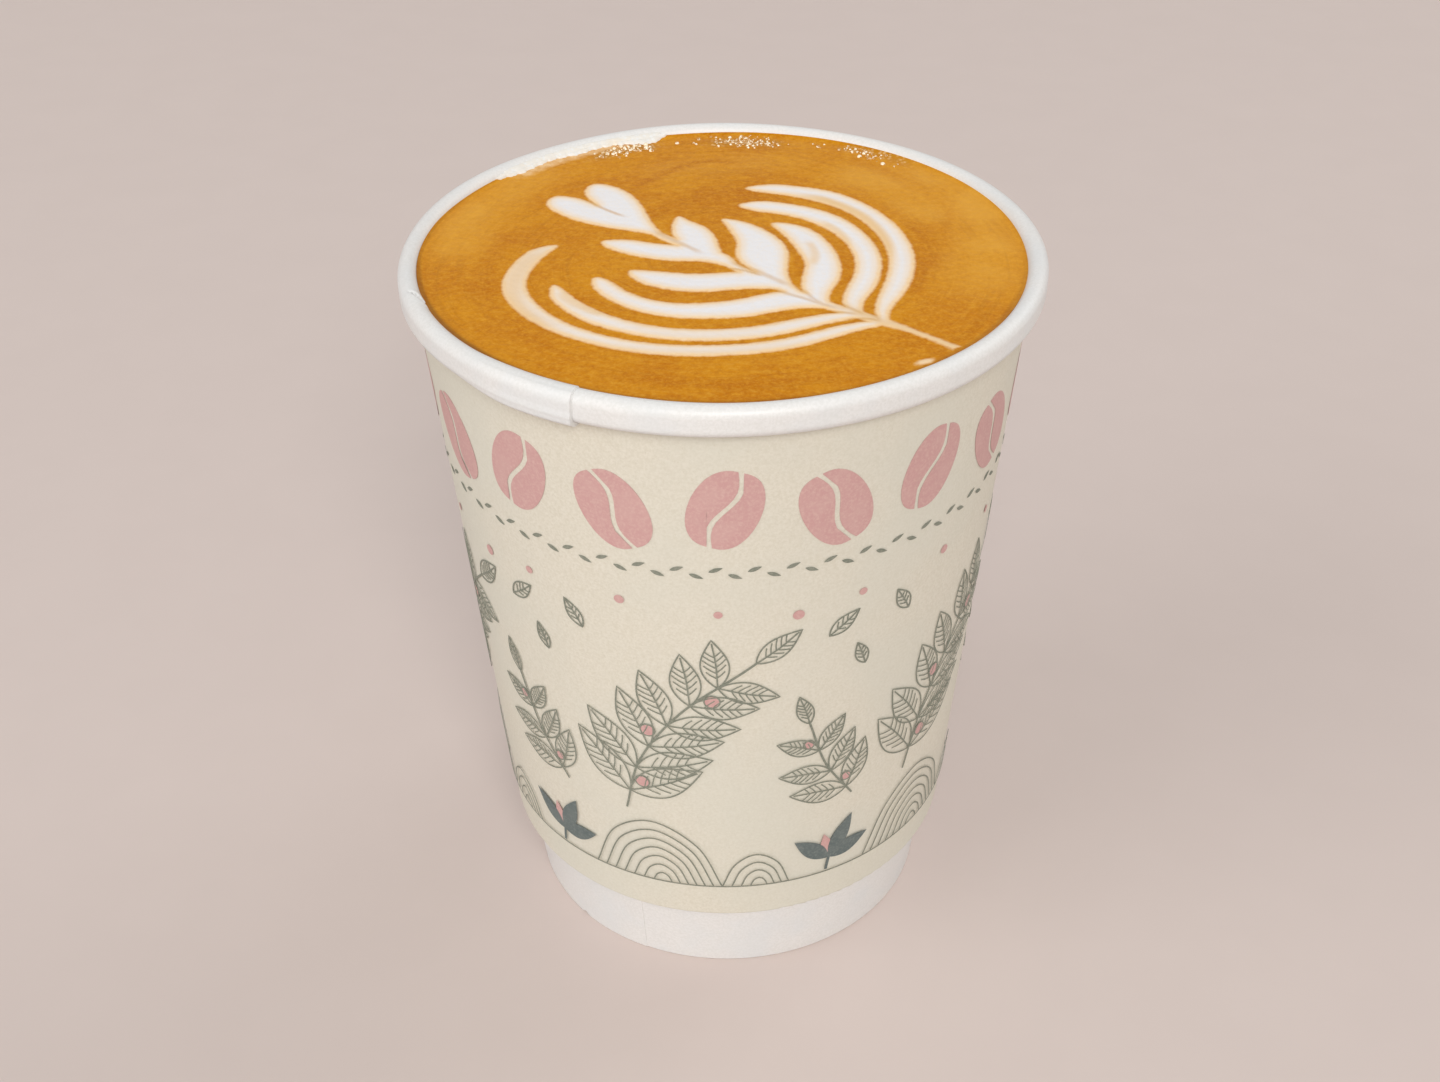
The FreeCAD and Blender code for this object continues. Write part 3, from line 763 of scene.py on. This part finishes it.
def domes(spots):
    """Points and faces of round caps standing on the drink: x, y and radius of each."""
    rings, sides = 4, 10
    sunk = 0.2            # share of its radius that a bubble's middle lies under the surface
    past_half = 1.2       # its skin goes on past its widest ring, to this share of a half globe
    points, faces = [], []
    for x, y, radius in spots:
        start = len(points)
        points.append((x, y, LEVEL + radius * (1 - sunk)))
        for ring in range(1, rings + 1):
            lean = math.pi / 2 * ring / rings * past_half
            for side in range(sides):
                angle = 2 * math.pi * side / sides
                points.append((x + radius * math.sin(lean) * math.cos(angle),
                               y + radius * math.sin(lean) * math.sin(angle),
                               LEVEL + radius * (math.cos(lean) - sunk)))
        for side in range(sides):
            faces.append((start, start + 1 + side, start + 1 + (side + 1) % sides))
        last = start + 1 + (rings - 1) * sides
        for first in range(start + 1, last, sides):
            band(faces, first + sides, first, sides)
        faces.append(tuple(last + side for side in range(sides))[::-1])
    return points, faces


# Drifts of bubbles: turn and its spread, distance from the axis and its spread, number tried.
DRIFTS = (
    (113, 3.2, 39.2, 0.9, 150),
    (84, 3.4, 39.0, 0.9, 150),
    (84, 7.0, 39.6, 1.2, 50),
    (57, 4.2, 40.6, 0.8, 60),
)
SMALLEST_BUBBLE = 0.13
BUBBLE_RANGE = 0.3
BUBBLE_OVERLAP = 0.85


def bubbles():
    """Small bubbles gathered in drifts against the back wall."""
    chance = np.random.default_rng(7)
    spots = []
    for middle, spread, away, depth, count in DRIFTS:
        for _ in range(count):
            turn = math.radians(chance.normal(middle, spread))
            size = SMALLEST_BUBBLE + BUBBLE_RANGE * float(chance.random()) ** 2
            far = min(away + chance.normal(0, depth), DRINK_RADIUS - size * 0.6)
            x, y = far * math.cos(turn), far * math.sin(turn)
            if all((x - u) ** 2 + (y - v) ** 2 > ((size + r) * BUBBLE_OVERLAP) ** 2 for u, v, r in spots):
                spots.append((x, y, size))
    piece("bubbles", *domes(spots), bubble_look(), "crema")


# How far the crema has drawn back from the wall at each turn.
DRAWN_BACK = (
    (101.8, 0.0), (103.2, 0.9), (105.2, 1.9), (107.6, 2.1), (110.5, 1.3), (114.5, 0.9), (118.5, 0.9),
    (122.7, 1.4), (126.0, 1.0), (129.2, 0.8), (133.5, 1.1), (137.5, 1.4), (141.0, 0.8), (145.0, 0.0),
)
FROTH_STEPS = 120
FROTH_ROWS = 6
FROTH_HEIGHT = 0.5
FROTH_CLIMB = 0.85    # how far it climbs the wall
FROTH_FOOT = 0.3      # how far it goes under the surface


def froth():
    """Froth left where the crema has drawn back from the wall: one closed low crescent."""
    turns, deep = np.array(DRAWN_BACK).T
    samples = np.linspace(turns[0], turns[-1], FROTH_STEPS)
    depth = np.interp(samples, turns, deep)
    depth = np.maximum(depth + 0.12 * np.sin(samples * 2.3) + 0.08 * np.sin(samples * 5.1 + 1), 0.03)
    climb = FROTH_CLIMB * smooth_step(depth, 0.0, 0.9)
    radians = np.radians(samples)
    around = np.column_stack([np.cos(radians), np.sin(radians)])
    wall = DRINK_RADIUS + 0.1
    bead = RIM_WIDTH / 2
    lip = CUP_RADIUS - bead - np.sqrt(bead ** 2 - climb ** 2)
    inner, outer = around * (wall - depth)[:, None], around * (lip + 0.12)[:, None]
    outline = np.vstack([outer, inner[::-1]])
    edge_height = np.concatenate([climb, np.zeros(len(climb))])
    spine = around * (wall - depth * 0.45)[:, None]
    middle = np.vstack([spine, spine[::-1]])

    def crescent(share):
        flat = outline + (middle - outline) * share * 0.98
        lump = 0.06 * np.sin(flat[:, 0] * 1.7) * np.sin(flat[:, 1] * 1.3) * share
        rise = edge_height * (1 - share) + FROTH_HEIGHT * math.sin(math.pi / 2 * share)
        return [(x, y, LEVEL - 0.02 + up + bit) for (x, y), up, bit in zip(flat, rise, lump)]

    rings = [crescent(row / FROTH_ROWS) for row in range(FROTH_ROWS + 1)]
    rings.append([(x, y, LEVEL - FROTH_FOOT) for x, y, z in rings[0]])
    points = [point for ring in rings for point in ring]
    count = len(outline)
    top, under = FROTH_ROWS * count, (FROTH_ROWS + 1) * count
    faces = []
    for first in range(0, top, count):
        band(faces, first, first + count, count)
    band(faces, under, 0, count)
    faces.append(tuple(top + step for step in range(count)))
    faces.append(tuple(under + step for step in range(count))[::-1])
    piece("froth", points, faces, froth_look(), "foam")


# ---- the print on the wrap

def on_wrap(turn, height, lift):
    """Point over the wrap's straight wall: turn counted from the front, positive to the right."""
    share = (height - WRAP_BOTTOM) / (WRAP_TOP - WRAP_BOTTOM)
    radius = WRAP_BOTTOM_RADIUS + (WRAP_TOP_RADIUS - WRAP_BOTTOM_RADIUS) * share + lift
    angle = math.radians(turn)
    return (radius * math.sin(angle), -radius * math.cos(angle), height)


MM_PER_DEGREE = math.radians(1) * (WRAP_TOP_RADIUS + WRAP_BOTTOM_RADIUS) / 2


class Print:
    """Thin closed shapes of one ink, drawn in millimetres along and up the wrap."""

    def __init__(self, lift):
        self.lift = lift
        self.points = []
        self.faces = []

    def ring(self, places, lift):
        self.points += [on_wrap(u / MM_PER_DEGREE, v, lift) for u, v in places]

    def fill(self, outline, rings=4):
        """Filled shape: rings shrink towards the middle, so that it follows the cone."""
        outline = np.asarray(outline, float)
        middle = outline.mean(0)
        count, start = len(outline), len(self.points)
        layers = [middle + (outline - middle) * (1 - k / (rings + 0.5)) for k in range(rings + 1)]
        for lift in (self.lift, -self.lift):
            for layer in layers:
                self.ring(layer, lift)
        under = start + len(layers) * count
        for base in (start, under):
            side = []
            for k in range(rings):
                band(side, base + k * count, base + (k + 1) * count, count)
            side.append(tuple(base + rings * count + step for step in range(count)))
            self.faces += side if base == start else [face[::-1] for face in side]
        band(self.faces, under, start, count)

    def line(self, path, width, closed=False):
        """Pen line of even width along a path."""
        path = np.asarray(path, float)
        ahead = np.roll(path, -1, 0) - np.roll(path, 1, 0)
        if not closed:
            ahead[0] = path[1] - path[0]
            ahead[-1] = path[-1] - path[-2]
        ahead /= np.maximum(np.hypot(*ahead.T), 1e-9)[:, None]
        side = np.column_stack([-ahead[:, 1], ahead[:, 0]]) * width / 2
        start, count = len(self.points), len(path)
        for lift, edge in ((self.lift, side), (self.lift, -side), (-self.lift, -side), (-self.lift, side)):
            self.ring(path + edge, lift)
        for step in range(count if closed else count - 1):
            after = (step + 1) % count
            for a, b in ((0, 1), (1, 2), (2, 3), (3, 0)):
                self.faces.append((start + a * count + after, start + b * count + after,
                                   start + b * count + step, start + a * count + step))
        if not closed:
            for step, flip in ((0, False), (count - 1, True)):
                cap = tuple(start + a * count + step for a in range(4))
                self.faces.append(cap[::-1] if flip else cap)

    def make(self, name, material):
        piece(name, self.points, self.faces, material, "printed_paper")


def bean(ink_layer, place, length, width, angle):
    """Coffee bean: two rounded halves with a wavy gap between them."""
    half_gap, wave = 0.35, 0.11
    round_steps, gap_steps = 24, 12
    for side in (1, -1):
        outline = []
        for step in range(round_steps + 1):
            a = math.pi * step / round_steps
            bulge = width / 2 * math.sin(a) ** 0.8 + half_gap
            outline.append((side * bulge, -length / 2 * math.cos(a)))
        for step in range(1, gap_steps):
            v = length / 2 - length * step / gap_steps
            outline.append((side * half_gap + wave * width * math.sin(2 * math.pi * v / length), v))
        ink_layer.fill(turned(outline, angle, place))


def leaf_shape(length, width, steps=16):
    """Outline of a pointed leaf that starts at the origin and points up."""
    shares = [k / steps for k in range(steps + 1)]
    right = [(width / 2 * math.sin(math.pi * share ** 0.85), length * share) for share in shares]
    return right + [(-x, y) for x, y in right[-2:0:-1]]


def leaf(lines, place, length, width, angle, veins, pen):
    """Drawn leaf: outline, midrib and side veins."""
    lines.line(turned(leaf_shape(length, width), angle, place), pen, closed=True)
    midrib = curve([(0, 0), (0.02 * length, length * 0.5), (0, length * 0.93)])
    lines.line(turned(midrib, angle, place), pen)
    for k in range(1, veins + 1):
        root = length * (0.10 + 0.66 * k / (veins + 1))
        reach = width / 2 * math.sin(math.pi * (root / length + 0.1)) * 0.8
        for side in (1, -1):
            bend = (side * reach * 0.55, root + reach * 0.45)
            vein = curve([(0, root), bend, (side * reach, root + reach * 0.95)])
            lines.line(turned(vein, angle, place), pen * 0.8)


def circle(place, radius, steps=20):
    """Points of a circle about a place."""
    angles = np.linspace(0, 2 * math.pi, steps, endpoint=False)
    return [(place[0] + radius * math.cos(a), place[1] + radius * math.sin(a)) for a in angles]


def branch(lines, pink, path, pairs, size, pen):
    """Branch along a path, with paired leaves, a leaf at its tip and small berries."""
    stem = curve(path, 0.7)
    lines.line(stem, pen * 1.5)
    berry = 0.085 * size
    for k in range(pairs + 1):
        at = int((0.12 + 0.86 * k / pairs) * (len(stem) - 1))
        ahead = stem[min(at + 1, len(stem) - 1)] - stem[max(at - 1, 0)]
        ahead = ahead / np.hypot(*ahead)
        heading = math.degrees(math.atan2(ahead[1], ahead[0])) - 90
        scale = size * (1.0 - 0.38 * k / pairs)
        if k == pairs:
            leaf(lines, stem[-1], scale, scale * 0.42, heading, 5, pen)
            break
        for side in (1, -1):
            spread = side * (50 + 5 * (k % 2))
            leaf(lines, stem[at], scale, scale * 0.44, heading + spread, 5, pen)
        if k % 2 == 0:
            across = np.array([-ahead[1], ahead[0]]) * (0.12 if k % 4 else -0.12)
            spot = stem[at] + (across + ahead * 0.22) * size
            lines.line(circle(spot, berry), pen, closed=True)
            pink.fill(circle(spot, berry, 16), rings=1)


def hill(lines, left, right, foot, height, count, pen):
    """Hill of nested contour lines that stand on one ground line."""
    for k in range(count):
        share = 1 - k / count
        middle = (left + right) / 2 + 0.06 * k * (right - left) / count
        half = (right - left) / 2 * share
        arch = [(middle - half, foot), (middle - half * 0.62, foot + height * share * 0.70),
                (middle, foot + height * share), (middle + half * 0.64, foot + height * share * 0.68),
                (middle + half, foot)]
        lines.line(curve(arch), pen)


def sprig(dark, pink, place, size, lean):
    """Solid sprig: three leaves on a short stalk, with a bud between them."""
    root = np.asarray(place, float)
    fork = turned([(0, size * 0.3)], lean, root)[0]
    dark.line(curve([root, fork], 0.6), 0.5)
    for angle, share in ((-62, 0.85), (-16, 1.0), (58, 0.9)):
        dark.fill(turned(leaf_shape(size * share, size * 0.34), lean + angle, fork))
    pink.fill(turned(leaf_shape(size * 0.62, size * 0.24), lean + 20, fork))


PEN = 0.22
HALF_SPAN = 170 * MM_PER_DEGREE   # the print leaves a plain stripe at the back
BEANS = 17
BEAN_ROW = 93.5
BEAN_LENGTH = 12.5
BEAN_WIDTH = 8.2
RULE_MARKS = 96
RULE_ROW = 83.0
RULE_LENGTH = 1.9
RULE_WIDTH = 0.62
LANDSCAPES = 5
GROUND = 21
# Loose leaves of each landscape: place, angle and length.
LOOSE_LEAVES = ((14, 70, -50, 5.5), (-20, 70, 30, 5.0), (20, 63, 20, 4.5))
# Round spots of each landscape: place and radius.
SPOTS = ((9.5, 75, 0.8), (18.5, 76.5, 0.6), (-14, 77, 0.7), (-1, 76, 0.6))


def across_print(k, count):
    """Middle of one of a row of even cells across the print."""
    return -HALF_SPAN + (k + 0.5) * 2 * HALF_SPAN / count


def wrap_print():
    """Generic frieze of beans, a rule of small leaves, branches, hills and sprigs, round the wrap."""
    pink, lines, dark = Print(0.012), Print(0.022), Print(0.016)
    for k in range(BEANS):
        place = (across_print(k, BEANS), BEAN_ROW - 1.4 * (k % 2))
        bean(pink, place, BEAN_LENGTH, BEAN_WIDTH, 24 if k % 2 else -18)
    for k in range(RULE_MARKS):
        place = (across_print(k, RULE_MARKS) - 0.9, RULE_ROW + 0.4 * (k % 2))
        mark = leaf_shape(RULE_LENGTH, RULE_WIDTH, 6)
        lines.fill(turned(mark, -68 if k % 2 else -112, place), rings=1)
    half_width = HALF_SPAN / LANDSCAPES
    for k in range(LANDSCAPES):
        u = across_print(k, LANDSCAPES)
        branch(lines, pink, [(u - 16, 36), (u - 13, 47), (u - 6, 58), (u + 4, 67)], 6, 13.0, PEN)
        branch(lines, pink, [(u + 20, 37), (u + 15, 45), (u + 12, 54)], 3, 9.5, PEN)
        for du, v, angle, length in LOOSE_LEAVES:
            leaf(lines, (u + du, v), length, length * 0.45, angle, 3, PEN)
        for du, v, radius in SPOTS:
            pink.fill(circle((u + du, v), radius, 14), rings=1)
        hill(lines, u - 23, u - 1, GROUND, 13, 7, PEN)
        hill(lines, u - 1, u + 10, GROUND, 7, 4, PEN)
        lines.line(curve([(u - half_width, GROUND), (u, GROUND), (u + half_width, GROUND)], 1.0), PEN)
        sprig(dark, pink, (u + 16.5, GROUND + 0.4), 9.0, -8)
    pink.make("print_pink", ink("ink_dusty_pink", (201, 156, 152), (210, 174, 166)))
    lines.make("print_lines", ink("ink_grey_green", (124, 128, 114), (150, 150, 136)))
    dark.make("print_dark", ink("ink_slate", (94, 105, 104), (124, 131, 127)))


# ---- stage, light and camera

# The stage and the camera are placed in metres.
FLOOR_HALF = 4.0
BACKGROUND = (206, 191, 184)
WORLD_STRENGTH = 0.46
LAMP_AIM = (0, 0, 0.05)
CAMERA_PLACE = (0.0, -0.2261, 0.2185)
CAMERA_AIM = (-0.0008, 0.0, 0.0594)
CAMERA_ROLL = -0.68
SENSOR_WIDTH = 36.0
LENS = 44.41


def floor():
    """Plain pale floor."""
    mesh = bpy.data.meshes.new("floor")
    half = FLOOR_HALF
    corners = [(-half, -half, 0), (half, -half, 0), (half, half, 0), (-half, half, 0)]
    mesh.from_pydata(corners, [], [(0, 1, 2, 3)])
    n = Nodes("pale_floor")
    grain = n.noise(scale=60, detail=2)
    colour = n.between(grain, 0.3, 0.7, (210, 195, 188), (211, 196, 189))
    mesh.materials.append(n.finish(colour, 0.9, IOR=1.3))
    made = bpy.data.objects.new("floor", mesh)
    bpy.context.scene.collection.objects.link(made)


def aimed(name, data, place, aim):
    """New lamp or camera at a place, turned towards another."""
    made = bpy.data.objects.new(name, data)
    made.location = place
    made.rotation_mode = "QUATERNION"
    made.rotation_quaternion = (Vector(aim) - Vector(place)).to_track_quat("-Z", "Y")
    bpy.context.scene.collection.objects.link(made)
    return made


def lamp(name, place, size, power, colour):
    """Round lamp aimed at the cup: its diameter in metres and its power in watts."""
    data = bpy.data.lights.new(name, "AREA")
    data.shape = "DISK"
    data.size = size
    data.energy = power
    data.color = colour
    aimed(name, data, place, LAMP_AIM)


def light():
    """Three large soft lamps and an even world, which gloss and the camera see as background."""
    lamp("key", (0.4, -3.6, 2.9), 2.4, 125.0, (1.0, 0.995, 0.98))
    lamp("fill", (-3.4, -1.6, 2.0), 3.2, 50.0, (0.97, 0.985, 1.0))
    lamp("back", (3.2, 2.4, 2.6), 3.2, 40.0, (0.97, 0.99, 1.0))
    world = bpy.data.worlds.new("studio")
    world.use_nodes = True
    tree = world.node_tree
    plain = tree.nodes["Background"]
    plain.inputs["Color"].default_value = (0.98, 0.99, 1.0, 1.0)
    plain.inputs["Strength"].default_value = WORLD_STRENGTH
    seen = tree.nodes.new("ShaderNodeBackground")
    seen.inputs["Color"].default_value = linear(*BACKGROUND)
    path = tree.nodes.new("ShaderNodeLightPath")
    either = path.outputs["Is Camera Ray"]
    for ray in ("Is Glossy Ray", "Is Transmission Ray"):
        add = tree.nodes.new("ShaderNodeMath")
        add.operation = "ADD"
        add.use_clamp = True
        tree.links.new(either, add.inputs[0])
        tree.links.new(path.outputs[ray], add.inputs[1])
        either = add.outputs[0]
    mix = tree.nodes.new("ShaderNodeMixShader")
    tree.links.new(either, mix.inputs["Fac"])
    tree.links.new(plain.outputs[0], mix.inputs[1])
    tree.links.new(seen.outputs[0], mix.inputs[2])
    tree.links.new(mix.outputs[0], tree.nodes["World Output"].inputs["Surface"])
    bpy.context.scene.world = world


def camera():
    """The photograph's angle: 35 degrees down on the cup, from its front, with a slight roll."""
    data = bpy.data.cameras.new("camera")
    data.sensor_width = SENSOR_WIDTH
    data.lens = LENS
    data.clip_start = 0.01
    made = aimed("camera", data, CAMERA_PLACE, CAMERA_AIM)
    made.rotation_quaternion = made.rotation_quaternion @ Quaternion((0, 0, 1), math.radians(CAMERA_ROLL))
    bpy.context.scene.camera = made


def dress(node, material):
    """Give a CAD node its finished material."""
    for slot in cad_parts[node].material_slots:
        slot.material = material


dress("cup_base", white_paper())
dress("outer_wrap", wrap_paper())
cup_paper()
drink()
bubbles()
froth()
wrap_print()
floor()
light()
camera()
bpy.context.scene.view_settings.view_transform = "Standard"
